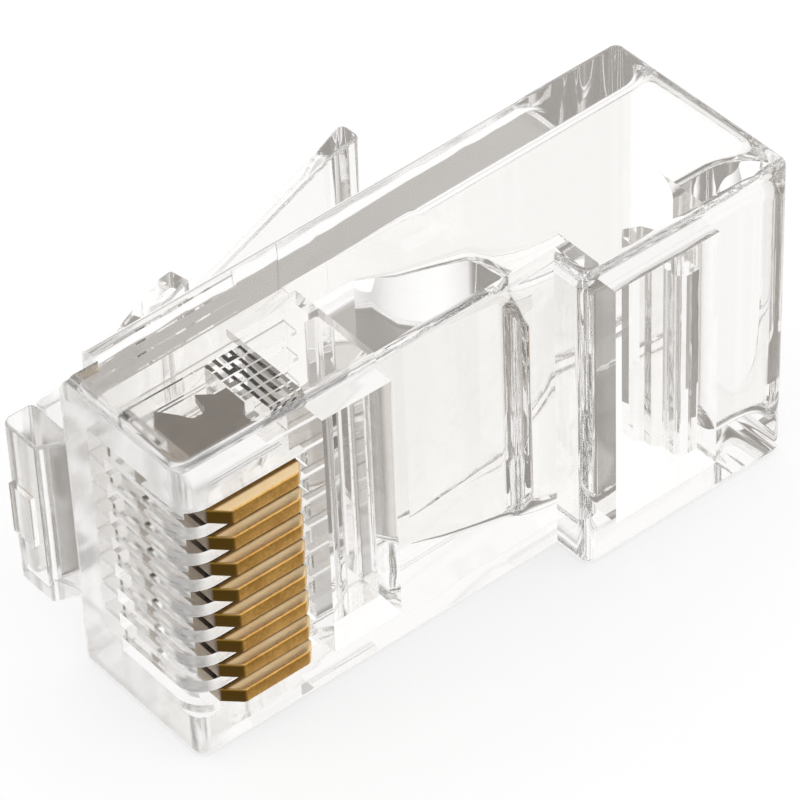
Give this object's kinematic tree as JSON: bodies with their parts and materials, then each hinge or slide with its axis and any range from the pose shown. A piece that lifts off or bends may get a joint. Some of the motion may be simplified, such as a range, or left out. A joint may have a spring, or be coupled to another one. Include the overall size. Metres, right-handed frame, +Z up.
{
  "type": "modular plug",
  "caption": "Clear eight-way modular data plug with gold contacts, a sprung latch and two strain relief bars, not yet crimped.",
  "frame": {"origin": "centre of the underside of the bounding box: on the narrow side the plug rests on, halfway along its length and halfway from the contact side to the latch's tip", "axes": "+X from the nose to the cable end, +Y from the contact side to the latch side, +Z up, across the plug's width"},
  "size_m": [0.023, 0.0146, 0.0117],
  "materials": {
    "clear_plastic": "gloss",
    "gold": "satin"
  },
  "bodies": {
    "housing": {"housing": "clear_plastic"},
    "latch": {"latch": "clear_plastic"},
    "conductor_bar": {"conductor_bar": "clear_plastic"},
    "jacket_bar": {"jacket_bar": "clear_plastic"},
    "contact_1": {"contact_1": "gold"},
    "contact_2": {"contact_2": "gold"},
    "contact_3": {"contact_3": "gold"},
    "contact_4": {"contact_4": "gold"},
    "contact_5": {"contact_5": "gold"},
    "contact_6": {"contact_6": "gold"},
    "contact_7": {"contact_7": "gold"},
    "contact_8": {"contact_8": "gold"}
  },
  "joints": [
    {"name": "latch_press", "type": "hinge", "parent": "housing", "child": "latch", "pos_m": [-0.00989, 0.00145, 0.00584], "axis": [0, 0, 1], "range_deg": [-19.5, 0], "stiffness_Nm_per_rad": 0.02},
    {"name": "conductor_bar_press", "type": "hinge", "parent": "housing", "child": "conductor_bar", "pos_m": [-0.00524, -0.00494, 0.00584], "axis": [0, 0, 1], "range_deg": [0, 25]},
    {"name": "jacket_bar_press", "type": "hinge", "parent": "housing", "child": "jacket_bar", "pos_m": [0.00844, -0.00632, 0.00584], "axis": [0, 0, 1], "range_deg": [-25, 0]},
    {"name": "contact_1_crimp", "type": "slide", "parent": "housing", "child": "contact_1", "axis": [0, 1, 0], "range_m": [0, 0.0009]},
    {"name": "contact_2_crimp", "type": "slide", "parent": "housing", "child": "contact_2", "axis": [0, 1, 0], "range_m": [0, 0.0009]},
    {"name": "contact_3_crimp", "type": "slide", "parent": "housing", "child": "contact_3", "axis": [0, 1, 0], "range_m": [0, 0.0009]},
    {"name": "contact_4_crimp", "type": "slide", "parent": "housing", "child": "contact_4", "axis": [0, 1, 0], "range_m": [0, 0.0009]},
    {"name": "contact_5_crimp", "type": "slide", "parent": "housing", "child": "contact_5", "axis": [0, 1, 0], "range_m": [0, 0.0009]},
    {"name": "contact_6_crimp", "type": "slide", "parent": "housing", "child": "contact_6", "axis": [0, 1, 0], "range_m": [0, 0.0009]},
    {"name": "contact_7_crimp", "type": "slide", "parent": "housing", "child": "contact_7", "axis": [0, 1, 0], "range_m": [0, 0.0009]},
    {"name": "contact_8_crimp", "type": "slide", "parent": "housing", "child": "contact_8", "axis": [0, 1, 0], "range_m": [0, 0.0009]}
  ]
}
